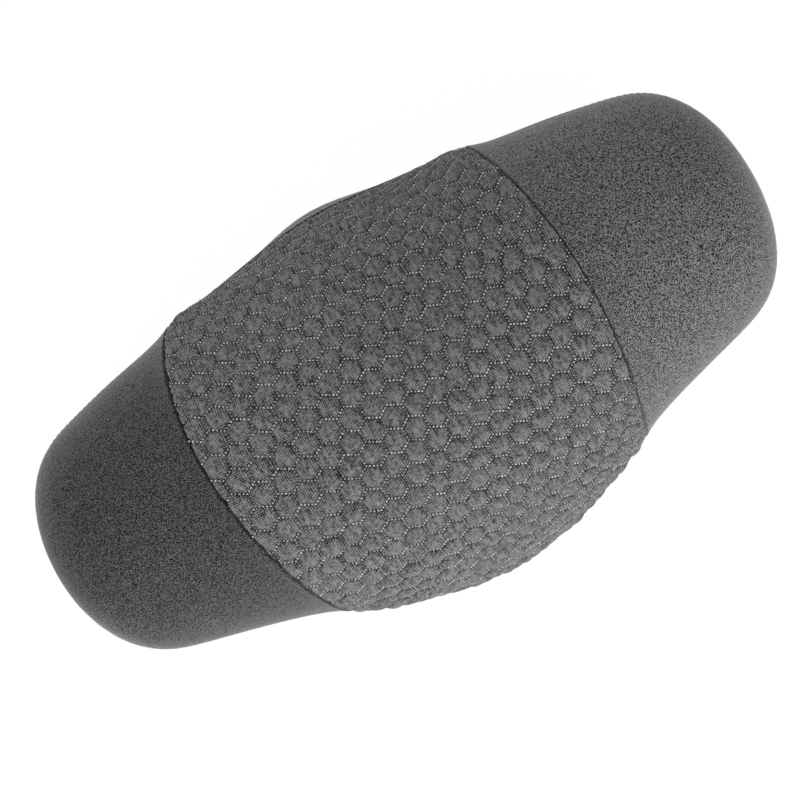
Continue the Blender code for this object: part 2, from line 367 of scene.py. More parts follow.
# How far the block has swelled is read from its axis outwards, and every panel of the cover follows it.
swelling = np.zeros(FIELD_SHAPE)
field_places = np.linspace(-FIELD_REACH, FIELD_REACH, FIELD_SHAPE[0])
for i, a in enumerate(field_places):
    x = float(along(a))
    middle = Vector((x, float(SIDE_BOW * (1 - swell(x))), float(axis_height(x))))
    for j in range(FIELD_SHAPE[1]):
        turn = 2 * math.pi * j / FIELD_SHAPE[1]
        way = Vector((0, math.sin(turn), math.cos(turn)))
        before, after = rest_tree.ray_cast(middle, way), swollen_tree.ray_cast(middle, way)
        if before[0] and after[0]:
            swelling[i, j] = after[3] - before[3]
for _ in range(SMOOTHING_PASSES):
    swelling = (2 * swelling + np.roll(swelling, 1, axis=1) + np.roll(swelling, -1, axis=1)) / 4
    padded = np.pad(swelling, ((1, 1), (0, 0)), mode="edge")
    swelling = (2 * swelling + padded[:-2] + padded[2:]) / 4
swelling *= np.clip((FIELD_REACH - np.abs(field_places)) / FIELD_FADE, 0, 1)[:, None]


def puff(x, turn):
    """How far the cover has swollen at places of the roll."""
    share = np.clip((place_of(x) + FIELD_REACH) / (2 * FIELD_REACH), 0, 1)
    u = share * (FIELD_SHAPE[0] - 1.001)         # always a little short of the last place
    v = np.mod(turn / (2 * math.pi), 1) * FIELD_SHAPE[1]
    i, j = np.floor(u).astype(int), np.floor(v).astype(int) % FIELD_SHAPE[1]
    s, t = u - i, v - np.floor(v)
    k = (j + 1) % FIELD_SHAPE[1]
    return ((swelling[i, j] * (1 - s) + swelling[i + 1, j] * s) * (1 - t)
            + (swelling[i, k] * (1 - s) + swelling[i + 1, k] * s) * t)


# Moulded polyurethane foam: dull and off-white, pitted all over by its burst cells, with painted shade down
# in the pits.
FOAM_COLOUR = "#e3ddcd"
FOAM_PIT_PAINTED_SHADE = "#b9b19b"
FOAM_CELL = 0.0012

material, shader = new_material("moulded_open_cell_foam")
spots = add(material, "ShaderNodeTexCoord")
cells = add(material, "ShaderNodeTexVoronoi", {"Vector": spots.outputs["Object"], "Scale": 1 / FOAM_CELL})
# Painted shade: darker towards the bottom of each pit.
tone = add(material, "ShaderNodeValToRGB", {"Fac": cells.outputs["Distance"]})
tone.color_ramp.elements[0].color = linear(FOAM_PIT_PAINTED_SHADE)
tone.color_ramp.elements[1].color = linear(FOAM_COLOUR)
feed(material, tone.outputs["Color"], shader, "Base Color")
pits = add(material, "ShaderNodeBump", {"Height": cells.outputs["Distance"], "Distance": FOAM_CELL / 2,
                                        "Strength": 0.6})
feed(material, pits.outputs["Normal"], shader, "Normal")
shader.inputs["Roughness"].default_value = 0.95
foam.data.materials.clear()
foam.data.materials.append(material)
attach(foam, "root")
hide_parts("foam_filling")

# Quilted middle
# A thick double knit with air between its layers. Hexagonal cells are drawn in along their edges by
# pale tuck stitches, so each cell stands up as a low cushion.

CELL_WIDTH = 0.0078
ROW_STEP = 0.0068
ROW_SLANT = math.radians(1.3)
PATTERN_START = (-0.0038, -0.0021)     # the place of one cell's middle, along the roll and round it
PULL_REACH = 0.05                      # the three shares below hold this far from the roll's middle
COLUMN_STRETCH = 0.045                 # the cells are longer by this share
COLUMN_DRIFT = 0.042                   # and by this much more on the left and less on the right
ROW_STRETCH = 0.08                     # and their rows lie further apart
ROW_LEAN = 0.205                       # the rows hang to the near side by this share of the crown's fall
GROOVE_LIFT = 0.0016                   # the grooves between the cells stand this high over the roll
DOME = 0.0014                          # and the middles of the cells this much higher
FULLNESS = (0.65, 1.3)                 # from the flattest cell to the fullest
FINE_CREASE = (0.0016, 0.005, 0.00012)           # width along the rows, length across them, height
BROAD_CREASE = (0.004, 0.004, 0.00018)
CELL_SPLITS = 6
SEAM_HALF_GAP = 0.0002
ROLLED_EDGE = 0.0006                   # the radius of a panel's edge, where it turns into a seam
SEWN_DOWN = 0.0014                     # the quilting stands this high where it meets a seam
CROSS_SEAM_EASE = 0.0060               # and is full this far from a cross seam
EDGE_SEAM_EASE = 0.0130                # or this far from the edge seam
FAR_SHOULDER = 0.0006                  # beside the cross seams it stands up more on the far side
SHOULDER_PLACE = 0.008                 # most of all this far from them
SHOULDER_SPREAD = 0.006
QUILT_INSIDE = -0.0014                 # the panel's inner face lies this deep
PANEL_DEPTH = -0.0009                  # and its outer one goes down this deep in a seam
RIM_STEPS = 4
INNER_STEPS = (28, 44)
INNER_MARGIN = 0.02                    # the inner face ends this angle short of the edge seam
NET_HALF_LENGTH = 0.085                # the net is laid a little larger than the panel, then cut to it
NET_HALF_GIRTH = 0.175
UPRIGHT_REACH = 0.95                   # the painted shade beside a cell's upright edges reaches a little wider

SIDE = CELL_WIDTH / math.sqrt(3)
SQUASH = ROW_STEP / (1.5 * SIDE)       # the hexagons are a little shorter round the roll than regular ones


def soft_noise(u, v, seed):
    """Smooth noise from -1 to 1 that changes over about one unit of u and v."""
    draws = np.random.default_rng(seed).uniform(-1, 1, (64, 64))
    i, j = np.floor(u).astype(int), np.floor(v).astype(int)
    s, t = u - i, v - j
    s, t = s * s * (3 - 2 * s), t * t * (3 - 2 * t)
    low = draws[i % 64, j % 64] * (1 - s) + draws[(i + 1) % 64, j % 64] * s
    high = draws[i % 64, (j + 1) % 64] * (1 - s) + draws[(i + 1) % 64, (j + 1) % 64] * s
    return low * (1 - t) + high * t


def quilt_radius(x):
    return half_width(x) + CROWN_EXTRA * swell(x) / 2 + GROOVE_LIFT


def on_roll(p, q):
    """x and angle on the roll of a place in the flat panel, p along its rows and q across them."""
    x = PATTERN_START[0] + p * math.cos(ROW_SLANT) - q * math.sin(ROW_SLANT)
    x = x * (1 + COLUMN_STRETCH * (x / PULL_REACH) ** 2 - COLUMN_DRIFT * x / PULL_REACH)
    round_roll = PATTERN_START[1] + p * math.sin(ROW_SLANT) + q * math.cos(ROW_SLANT)
    round_roll = round_roll * (1 + ROW_STRETCH * (x / PULL_REACH) ** 2)
    round_roll = round_roll - SIDE_BOW * (1 - swell(x)) + ROW_LEAN * (crown_height(x) - crown_height(0))
    return x, round_roll / quilt_radius(x)


def cell_of(p, q):
    """Row and column of the cell that holds each place, and how far in it lies, from 0 to 1 at its middle."""
    up = q / SQUASH
    best = None
    for shift in (-1, 0, 1):
        row = np.round(up / (1.5 * SIDE)) + shift
        half = (row % 2) / 2
        column = np.round(p / CELL_WIDTH - half)
        dp = p - (column + half) * CELL_WIDTH
        dq = up - row * 1.5 * SIDE
        reach = np.maximum(np.abs(dp), np.maximum(np.abs(dp / 2 + dq * math.sqrt(3) / 2),
                                                  np.abs(dp / 2 - dq * math.sqrt(3) / 2)))
        found = np.stack([row, column, reach])
        best = found if best is None else np.where(reach < best[2], found, best)
    return best[0].astype(int), best[1].astype(int), 1 - best[2] / (CELL_WIDTH / 2)


def from_seams(x, turn):
    """Distance of places on the panel from the left, right, near and far seam."""
    radius = quilt_radius(x)
    return np.stack([x - cross_seam(-1, turn), cross_seam(1, turn) - x,
                     (turn + edge_turn(x)) * radius, (edge_turn(x) - turn) * radius])


def quilt_lift(p, q):
    """How high the quilted surface stands over the plain roll."""
    row, column, inward = cell_of(p, q)
    draws = np.random.default_rng(11).uniform(*FULLNESS, (128, 128))
    fullness = draws[row % 128, column % 128]
    dome = DOME * fullness * (1 - (1 - np.clip(inward, 0, 1)) ** 2)
    creases = 0
    for seed, (width, length, height) in ((3, FINE_CREASE), (4, BROAD_CREASE)):
        creases = creases + soft_noise(p / width, q / length, seed) * height
    full = GROOVE_LIFT + dome + creases * np.clip(inward * 4, 0, 1)
    x, turn = on_roll(p, q)
    away = np.maximum(from_seams(x, turn), 0)
    from_cross, from_edge = away[:2].min(axis=0), away[2:].min(axis=0)
    ease = 1 - (1 - np.minimum(from_cross / CROSS_SEAM_EASE, 1)) ** 2
    ease = ease * (1 - (1 - np.minimum(from_edge / EDGE_SEAM_EASE, 1)) ** 2)
    shoulder = np.exp(-((from_cross - SHOULDER_PLACE) / SHOULDER_SPREAD) ** 2)
    shoulder = FAR_SHOULDER * shoulder * np.clip(np.sin(turn), 0, 1) ** 2
    return SEWN_DOWN + (full - SEWN_DOWN) * ease + shoulder + puff(x, turn)


def rim_profile(s):
    """0 in the seam, rising over a tight bend to 1 where the edge is no longer rolled in."""
    return np.cbrt(1 - (1 - np.clip(s / ROLLED_EDGE, 0, 1)) ** 3)


def to_seams(x, turn, held, s):
    """Places moved until they lie s away from the seams that they are held by."""
    for _ in range(3):
        x = np.where(held[0], cross_seam(-1, turn) + s, x)
        x = np.where(held[1], cross_seam(1, turn) - s, x)
        turn = np.where(held[2], -edge_turn(x) + s / quilt_radius(x), turn)
        turn = np.where(held[3], edge_turn(x) - s / quilt_radius(x), turn)
    return x, turn


def make_piece(name, points, faces, flat=None):
    """A smooth mesh object from points and faces, with the flat places of its points as its UV map."""
    mesh = bpy.data.meshes.new(name)
    mesh.from_pydata([tuple(p) for p in points], [], [tuple(int(i) for i in f) for f in faces])
    mesh.update()
    mesh.shade_smooth()
    if flat is not None:
        corners = np.empty(len(mesh.loops), dtype=np.int32)
        mesh.loops.foreach_get("vertex_index", corners)
        layer = mesh.uv_layers.new(name="flat_panel")
        layer.data.foreach_set("uv", np.asarray(flat, dtype=np.float32)[corners].ravel())
    piece = bpy.data.objects.new(name, mesh)
    bpy.context.scene.collection.objects.link(piece)
    return piece


def loop_round(faces):
    """The points along the border of a triangulated patch, in order."""
    edges = {pair: True for a, b, c in faces for pair in ((a, b), (b, c), (c, a))}
    following = {a: b for a, b in edges if (b, a) not in edges}
    start = next(iter(following))
    loop = [start]
    while following[loop[-1]] != start:
        loop.append(following[loop[-1]])
    return loop


def zip_loops(loop_a, angles_a, loop_b, angles_b):
    """Triangles between two loops that run the same way round, matched by angle."""
    start_a = int(np.argmin(angles_a))
    start_b = int(np.argmin(angles_b))
    loop_a = loop_a[start_a:] + loop_a[:start_a]
    loop_b = loop_b[start_b:] + loop_b[:start_b]
    angles_a = np.append(np.roll(angles_a, -start_a), np.min(angles_a) + 2 * math.pi)
    angles_b = np.append(np.roll(angles_b, -start_b), np.min(angles_b) + 2 * math.pi)
    faces = []
    i = j = 0
    while i < len(loop_a) or j < len(loop_b):
        a, b = loop_a[i % len(loop_a)], loop_b[j % len(loop_b)]
        if j == len(loop_b) or (i < len(loop_a) and angles_a[i + 1] <= angles_b[j + 1]):
            i += 1
            faces.append((a, b, loop_a[i % len(loop_a)]))
        else:
            j += 1
            faces.append((a, b, loop_b[j % len(loop_b)]))
    return faces


def build_quilt():
    """The panel's mesh: a net of small triangles in line with the cells, a rolled edge and a plain inside."""
    step = SIDE / CELL_SPLITS
    half_columns = int(NET_HALF_LENGTH / (step * math.sqrt(3) / 2))
    half_rows = int(NET_HALF_GIRTH / step)
    i, j = np.meshgrid(np.arange(-half_columns, half_columns + 1), np.arange(-half_rows, half_rows + 1),
                       indexing="ij")
    p = (i * step * math.sqrt(3) / 2).ravel()
    q = ((j + (i % 2) / 2) * step * SQUASH).ravel()
    number = np.arange(i.size).reshape(i.shape)
    faces = []
    for parity in (0, 1):
        odd = (i[:-1, :-1] % 2) == parity
        low, high = number[:-1, :-1][odd], number[:-1, 1:][odd]
        next_low, next_high = number[1:, :-1][odd], number[1:, 1:][odd]
        if parity == 0:
            faces += [np.stack([low, next_low, high], 1), np.stack([next_low, next_high, high], 1)]
        else:
            faces += [np.stack([low, next_low, next_high], 1), np.stack([low, next_high, high], 1)]
    faces = np.concatenate(faces)

    x, turn = on_roll(p, q)
    away = from_seams(x, turn)
    held = np.abs(away - ROLLED_EDGE) < step / 2
    inside = (away > ROLLED_EDGE - step / 2).all(axis=0)
    kept = faces[inside[faces].all(axis=1)]
    kept = kept[~held[:, kept].all(axis=2).any(axis=0)]
    x, turn = to_seams(x, turn, held, ROLLED_EDGE)
    used, kept = np.unique(kept, return_inverse=True)
    kept = kept.reshape(-1, 3)
    x, turn, p, q, held = x[used], turn[used], p[used], q[used], held[:, used]

    lift = quilt_lift(p, q)
    points = [roll_surface(x, turn, lift)]
    flat = [np.stack([p, q], 1)]
    border = loop_round(kept.tolist())
    faces = [kept]
    loop = border
    total = len(x)
    for ring in range(1, RIM_STEPS + 1):
        s = SEAM_HALF_GAP + (ROLLED_EDGE - SEAM_HALF_GAP) * (1 - ring / RIM_STEPS)
        rx, rt = to_seams(x[border], turn[border], held[:, border], s)
        rise = rim_profile(s - SEAM_HALF_GAP)
        points.append(roll_surface(rx, rt, PANEL_DEPTH + (lift[border] - PANEL_DEPTH) * rise))
        flat.append(np.stack([p[border], q[border]], 1))
        new_loop = list(range(total, total + len(border)))
        total += len(border)
        for k in range(len(border)):
            m = (k + 1) % len(border)
            faces.append([(loop[k], new_loop[k], new_loop[m]), (loop[k], new_loop[m], loop[m])])
        loop = new_loop

    columns, rows = INNER_STEPS
    u, v = np.meshgrid(np.linspace(-1, 1, columns + 1), np.linspace(-1, 1, rows + 1), indexing="ij")
    it = v * math.pi / 2
    ix = u * CROSS_SEAM_PLACE
    for _ in range(3):
        it = v * (edge_turn(ix) - INNER_MARGIN)
        ix = np.where(u < 0, -u * (cross_seam(-1, it) + ROLLED_EDGE), u * (cross_seam(1, it) - ROLLED_EDGE))
    grid = np.arange(total, total + ix.size).reshape(ix.shape)
    points.append(roll_surface(ix.ravel(), it.ravel(), QUILT_INSIDE + puff(ix, it).ravel()))
    flat.append(np.stack([ix.ravel(), (it * quilt_radius(ix)).ravel()], 1))
    quads = np.stack([grid[:-1, :-1], grid[:-1, 1:], grid[1:, 1:], grid[1:, :-1]], -1).reshape(-1, 4)
    faces.append(quads[:, [0, 1, 2]])
    faces.append(quads[:, [0, 2, 3]])
    inner = list(grid[:, 0]) + list(grid[-1, 1:]) + list(grid[-2::-1, -1]) + list(grid[0, -2:0:-1])
    flat = np.concatenate(flat)
    rim_bearing = np.arctan2(rt * quilt_radius(rx), rx - SKEW_SHIFT)
    inner_x, inner_turn = ix.ravel()[np.array(inner) - total], it.ravel()[np.array(inner) - total]
    inner_bearing = np.arctan2(inner_turn * quilt_radius(inner_x), inner_x - SKEW_SHIFT)
    faces.append(zip_loops(loop, rim_bearing, inner, inner_bearing))
    faces = np.concatenate([np.asarray(patch) for patch in faces])
    panel = make_piece("quilted_front", np.concatenate(points), faces, flat)
    # How far each point lies inside its cell, kept to place the painted shade in the grooves.
    row, column, inward = cell_of(flat[:, 0], flat[:, 1])
    from_upright = 1 - np.abs(flat[:, 0] - (column + (row % 2) / 2) * CELL_WIDTH) / (CELL_WIDTH / 2)
    inward = np.clip(np.minimum(inward, UPRIGHT_REACH * from_upright), 0, 1).astype(np.float32)
    panel.data.attributes.new("inward", "FLOAT", "POINT").data.foreach_set("value", inward)
    return panel


quilt = build_quilt()

# Melange polyester yarn, knitted double. To the eye it is a fine grid of grey stitches over dark gaps, with
# paler and darker flecks. Painted shade darkens it down in the grooves, and a slight painted highlight lifts
# the cell tops. Fine fleck and grain are drawn at 0.4 mm and up, coarser than the fibres, so that they show.
LIGHT_YARN = "#9c9c9c"
DARK_YARN = "#0c0c0c"
STITCH_PITCH = 0.00068                 # from one knitted stitch to the next, both ways
GRAIN_SIZE = 0.0004
STREAKS_PER_METRE = (700, 220, 0)      # long paler streaks, across the rows
STITCH_RELIEF = 0.0002

material, shader = new_material("air_layer_double_knit")
lay = add(material, "ShaderNodeUVMap", uv_map="flat_panel")
place = add(material, "ShaderNodeSeparateXYZ", {0: lay.outputs["UV"]})
lines = []
for axis in ("X", "Y"):
    turns = add(material, "ShaderNodeMath", {0: place.outputs[axis], 1: math.pi / STITCH_PITCH},
                operation="MULTIPLY")
    wave = add(material, "ShaderNodeMath", {0: turns.outputs[0]}, operation="SINE")
    lines.append(add(material, "ShaderNodeMath", {0: wave.outputs[0]}, operation="ABSOLUTE").outputs[0])
stitch = add(material, "ShaderNodeMath", {0: lines[0], 1: lines[1]}, operation="MULTIPLY")
count = add(material, "ShaderNodeVectorMath", {0: lay.outputs["UV"], 1: (1 / STITCH_PITCH,) * 3},
            operation="MULTIPLY")
whole = add(material, "ShaderNodeVectorMath", {0: count.outputs[0]}, operation="FLOOR")
fleck = add(material, "ShaderNodeTexWhiteNoise", {"Vector": whole.outputs[0]}, noise_dimensions="2D")
grain = add(material, "ShaderNodeTexVoronoi", {"Vector": lay.outputs["UV"], "Scale": 1 / GRAIN_SIZE},
            voronoi_dimensions="2D")
grain_value = add(material, "ShaderNodeSeparateColor", {0: grain.outputs["Color"]})
streak_scale = add(material, "ShaderNodeVectorMath", {0: lay.outputs["UV"], 1: STREAKS_PER_METRE},
                   operation="MULTIPLY")
streak = add(material, "ShaderNodeTexNoise", {"Vector": streak_scale.outputs[0], "Scale": 1.0, "Detail": 3.0},
             noise_dimensions="2D")
inward = add(material, "ShaderNodeAttribute", attribute_name="inward")
# Painted shade: darker down in the grooves along the cell edges, with a slight painted highlight on the cell
# tops.
hollow = add(material, "ShaderNodeMapRange", {"Value": inward.outputs["Fac"], "From Max": 0.3,
                                              "To Min": -0.2, "To Max": 0.03})
total = hollow.outputs[0]
for source, weight in ((stitch, 0.50), (fleck, 0.22), (grain_value, 0.30), (streak, 0.50)):
    value = source.outputs["Fac"] if source is streak else source.outputs[0]
    total = add(material, "ShaderNodeMath", {0: value, 1: weight, 2: total},
                operation="MULTIPLY_ADD").outputs[0]
tone = add(material, "ShaderNodeMapRange", {"Value": total, "From Min": 0.52, "From Max": 0.88})
ramp = add(material, "ShaderNodeValToRGB", {"Fac": tone.outputs[0]})
ramp.color_ramp.elements[0].color = linear(DARK_YARN)
ramp.color_ramp.elements[1].color = linear(LIGHT_YARN)
feed(material, ramp.outputs["Color"], shader, "Base Color")
relief = add(material, "ShaderNodeBump", {"Height": stitch.outputs[0], "Distance": STITCH_RELIEF,
                                          "Strength": 0.6})
feed(material, relief.outputs["Normal"], shader, "Normal")
shader.inputs["Roughness"].default_value = 0.9
shader.inputs["Sheen Weight"].default_value = 0.02
quilt.data.materials.append(material)
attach(quilt, "root")
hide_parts("quilted_front_panel")

# Tuck stitches
# Pale yarn that comes to the face in a row of small loops along every edge of a cell, four to an edge.
# It is knitted in with the panel. The loops along the roll's girth are drawn smaller, and darker with painted
# shade.

LOOPS_PER_EDGE = 4
LOOP_LENGTH = 0.0008
LOOP_WIDTH = 0.00068
LOOP_HEIGHT = 0.0006
LOOP_RISE = 0.00022                    # its middle over the bottom of the groove
LOOP_PLAY = 0.00006                    # it lies off its place by up to this much
LOOP_SIZES = (0.75, 1.15)              # from the smallest to the largest
LOOP_TONES = (0.5, 1.1)                # and from the darkest to the palest
GIRTH_LOOP_PAINTED_SHADE = 0.55                       # painted shade: the tone of a loop along the girth
SUNK_SIZE = 0.25                       # which is smaller by up to this share
CELL_ROWS = 28                         # to each side of the middle, enough to pass the seams
CELL_COLUMNS = 13


def surface_frame(p, q):
    """Points of the quilted surface with their directions along the rows, across them and outwards."""
    lift = quilt_lift(p, q)

    def at(p, q):
        return roll_surface(*on_roll(p, q), lift)

    points = at(p, q)
    over = at(p + PROBE, q) - at(p - PROBE, q)
    up = at(p, q + PROBE) - at(p, q - PROBE)
    out = np.cross(over, up)
    return points, [d / np.linalg.norm(d, axis=1, keepdims=True) for d in (over, up, out)]


rows, columns = np.meshgrid(np.arange(-CELL_ROWS, CELL_ROWS + 1),
                            np.arange(-CELL_COLUMNS, CELL_COLUMNS + 1), indexing="ij")
middle_p = (columns + (rows % 2) / 2).ravel() * CELL_WIDTH
middle_q = rows.ravel() * ROW_STEP
loop_p, loop_q, loop_slant, loop_shade = [], [], [], []
for bearing in (0.0, math.pi / 3, 2 * math.pi / 3):
    for k in range(LOOPS_PER_EDGE):
        shift = (k / LOOPS_PER_EDGE - 0.5) * SIDE      # one loop sits right in each corner
        loop_p.append(middle_p + CELL_WIDTH / 2 * math.cos(bearing) - shift * math.sin(bearing))
        loop_q.append(middle_q + (CELL_WIDTH / 2 * math.sin(bearing) + shift * math.cos(bearing)) * SQUASH)
        loop_slant.append(np.full(len(middle_p), bearing + math.pi / 2))
        # Loops along the girth take painted shade.
        loop_shade.append(np.full(len(middle_p), GIRTH_LOOP_PAINTED_SHADE if bearing == 0 else 1.0))
loops = np.stack([np.concatenate(a) for a in (loop_p, loop_q, loop_slant, loop_shade)])
shown = (from_seams(*on_roll(loops[0], loops[1])) > ROLLED_EDGE).all(axis=0)
loop_p, loop_q, loop_slant, loop_shade = loops[:, shown]
draws = np.random.default_rng(5)
loop_p = loop_p + draws.uniform(-1, 1, len(loop_p)) * LOOP_PLAY
loop_q = loop_q + draws.uniform(-1, 1, len(loop_p)) * LOOP_PLAY
size = draws.uniform(*LOOP_SIZES, (len(loop_p), 1, 1))
size = size * (1 - SUNK_SIZE + SUNK_SIZE * loop_shade[:, None, None])
bm = bmesh.new()
bmesh.ops.create_icosphere(bm, subdivisions=1, radius=0.5)
bead = np.array([v.co[:] for v in bm.verts])
bead_faces = np.array([[v.index for v in f.verts] for f in bm.faces])
bm.free()
points, (over, up, out) = surface_frame(loop_p, loop_q)
length_way = over * np.cos(loop_slant)[:, None] + up * np.sin(loop_slant)[:, None]
width_way = np.cross(out, length_way)
shape = (bead[None, :, :1] * LOOP_LENGTH * length_way[:, None]
         + bead[None, :, 1:2] * LOOP_WIDTH * width_way[:, None]
         + bead[None, :, 2:] * LOOP_HEIGHT * out[:, None])
beads = points[:, None] + shape * size + out[:, None] * LOOP_RISE
numbers = (np.arange(len(points)) * len(bead))[:, None, None] + bead_faces[None]
stitches = make_piece("tuck_stitches", beads.reshape(-1, 3), numbers.reshape(-1, 3))
# Each loop's tone is a random tone, times the painted shade along the girth.
shade = np.repeat(loop_shade * draws.uniform(*LOOP_TONES, len(points)), len(bead)).astype(np.float32)
stitches.data.attributes.new("shade", "FLOAT", "POINT").data.foreach_set("value", shade)

# Bright white polyester yarn, slightly glossy. Each loop is a pale dot; along the girth it is greyed by
# painted shade.
PAINTED_SHADE_GREY = "#202020"
PALE_YARN = "#f8f8f8"

material, shader = new_material("pale_tuck_yarn")
shade = add(material, "ShaderNodeAttribute", attribute_name="shade")
tone = add(material, "ShaderNodeValToRGB", {"Fac": shade.outputs["Fac"]})
tone.color_ramp.elements[0].color = linear(PAINTED_SHADE_GREY)
tone.color_ramp.elements[1].color = linear(PALE_YARN)
feed(material, tone.outputs["Color"], shader, "Base Color")
shader.inputs["Roughness"].default_value = 0.7
stitches.data.materials.append(material)
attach(stitches, "root")

# Plain ends and back
# One dark melange knit, slightly napped, cut as two front ends and one back that runs the whole length.
# Their edges are rolled into the seams.

PLAIN_INSIDE = -0.0014                 # the panels' inner faces lie this deep
FLARE = 0.0019                         # the plain cover rises this much beside a cross seam
FLARE_REACH = 0.006                    # and sinks back over this distance
BACK_FLARE = 0.0022                    # and the back this much beside the quilted middle
BACK_BULGE = 0.0025                    # the back bulges past the edge seam, a little way behind it
BULGE_PLACE = (0.002, 0.012)           # along the roll, and round it from the seam
BULGE_SIZE = (0.022, 0.008)
SEAM_STEPS = (0, 0.0001, 0.0003, 0.0006, 0.0010, 0.0016, 0.0025, 0.0040)   # points beside a seam
TIP_STEPS = (0.07, 0.045, 0.028, 0.016, 0.008)   # points before a tip, in the measure of "along"
END_REACH = 0.08                       # about the length of a plain end, which its steps are set out for
GIRTH_STEPS = 44
END_STEPS = 30
BACK_STEPS = 80


def spread(total, steps, count):
    """Shares from 0 to 1 of a width: close together beside the seam, then even."""
    near = np.asarray(steps)[:, None] / np.maximum(total, 1e-6)
    far = near[-1] + (1 - near[-1]) * np.linspace(0, 1, count - len(steps) + 1)[1:, None]
    even = np.linspace(0, 1, count)[:, None]
    return np.minimum(np.concatenate([near, far]), even)


def close_shell(outer, inner, tips):
    """Faces of a closed shell from two grids of point numbers, with a pole beyond the ends named in tips."""
    faces = []
    for grid, flip in ((outer, False), (inner, True)):
        quads = np.stack([grid[:-1, :-1], grid[1:, :-1], grid[1:, 1:], grid[:-1, 1:]], -1).reshape(-1, 4)
        quads = quads[:, ::-1] if flip else quads
        faces += quads.tolist()
    for column, flip in ((0, True), (-1, False)):
        a, b = outer[:, column], inner[:, column]
        for k in range(len(a) - 1):
            face = [a[k], a[k + 1], b[k + 1], b[k]]
            faces.append(face[::-1] if not flip else face)
    for row, tip in ((0, tips[0]), (-1, tips[1])):
        a, b = outer[row], inner[row]
        for k in range(len(a) - 1):
            if tip is None:
                faces.append([a[k], a[k + 1], b[k + 1], b[k]])
            else:
                faces.append([a[k], a[k + 1], tip[0]])
                faces.append([b[k], b[k + 1], tip[1]])
        if tip is not None:
            faces.append([a[0], b[0], tip[1], tip[0]])
            faces.append([a[-1], b[-1], tip[1], tip[0]])
    return faces


def plain_panel(name, grid_x, grid_turn, lifts, side, tips):
    """A closed knit panel over a grid of places, on the front where side is 1, on the back where it is -1."""
    outer = roll_surface(grid_x, grid_turn, lifts + puff(grid_x, grid_turn))
    inner = roll_surface(grid_x, grid_turn, PLAIN_INSIDE + puff(grid_x, grid_turn))
    depths = np.array([PANEL_DEPTH, PLAIN_INSIDE])
    ends = [roll_surface(np.array([x, x]), np.zeros(2), depths) for x in tips if x]
    points = np.concatenate([outer.reshape(-1, 3), inner.reshape(-1, 3), *ends])
    seam = axis_height(points[:, 0]) + EDGE_SEAM_LIFT * swell(points[:, 0])
    points[:, 2] += side * SEAM_HALF_GAP * np.exp(-np.abs(points[:, 2] - seam) / ROLLED_EDGE)
    numbers = np.arange(grid_x.size).reshape(grid_x.shape)
    last = 2 * grid_x.size
    poles = []
    for x in tips:
        poles.append((last, last + 1) if x else None)
        last += 2 if x else 0
    piece = make_piece(name, points, close_shell(numbers, numbers + grid_x.size, poles))
    bm = bmesh.new()
    bm.from_mesh(piece.data)
    bmesh.ops.recalc_face_normals(bm, faces=bm.faces[:])
    bm.to_mesh(piece.data)
    bm.free()
    # The left end gets the copy of the knit darkened by painted shade.
    piece.data.materials.append(napped_knit_painted_shade if name == "left_end" else with_the_nap)
    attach(piece, "root")
    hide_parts(name + "_panel")


# Melange polyester yarn, raised to a short nap. The eye sees fine dark and pale specks all over, and a paler
# rim where the surface turns away and the nap catches the light. The specks are drawn at 0.3 and 0.4 mm,
# coarser than the fibres, so that they show.
FLECK_SIZE = 0.00028
CURL_SIZE = 0.00040
FLECK_SHARE = 0.18
NAP_HEIGHT = 0.0002


def napped_knit(name, light_yarn, dark_yarn, dark_until, light_from):
    """The plain knit: pale and dark fibres mixed in the yarn, raised to a short nap."""
    material, shader = new_material(name)
    spots = add(material, "ShaderNodeTexCoord")
    total = 0.0
    flecks = add(material, "ShaderNodeTexVoronoi", {"Vector": spots.outputs["Object"],
                                                    "Scale": 1 / FLECK_SIZE})
    value = add(material, "ShaderNodeSeparateColor", {0: flecks.outputs["Color"]})
    curls = add(material, "ShaderNodeTexNoise", {"Vector": spots.outputs["Object"], "Scale": 1 / CURL_SIZE,
                                                 "Detail": 0.0})
    for source, weight in ((value.outputs[0], FLECK_SHARE), (curls.outputs["Fac"], 1.0)):
        total = add(material, "ShaderNodeMath", {0: source, 1: weight, 2: total},
                    operation="MULTIPLY_ADD").outputs[0]
    tone = add(material, "ShaderNodeMapRange", {"Value": total, "From Min": dark_until,
                                                "From Max": light_from})
    ramp = add(material, "ShaderNodeValToRGB", {"Fac": tone.outputs[0]})
    ramp.color_ramp.elements[0].color = linear(dark_yarn)
    ramp.color_ramp.elements[1].color = linear(light_yarn)
    feed(material, ramp.outputs["Color"], shader, "Base Color")
    nap = add(material, "ShaderNodeBump", {"Height": tone.outputs[0], "Distance": NAP_HEIGHT,
                                           "Strength": 0.5})
    feed(material, nap.outputs["Normal"], shader, "Normal")
    shader.inputs["Roughness"].default_value = 0.9
    shader.inputs["Sheen Weight"].default_value = 0.8
    shader.inputs["Sheen Roughness"].default_value = 0.25
    return material


# Brushed one way the knit looks paler, and the other way darker, as the left end does; here that is painted
# shade, a darker copy of the same knit for the left end.
with_the_nap = napped_knit("napped_melange_knit", "#9d9d9f", "#040404", 0.50, 0.70)
napped_knit_painted_shade = napped_knit("napped_melange_knit_painted_shade", "#717171", "#020202", 0.52, 0.72)


def round_roll_steps(x, width):
    """Places round the roll from -1 to 1 of a width, closer together beside the seams at both."""
    shares = spread((half_width(x) * width)[:, 0], SEAM_STEPS, GIRTH_STEPS).T
    return np.concatenate([shares - 1, (1 - shares)[:, ::-1][:, 1:]], axis=1)


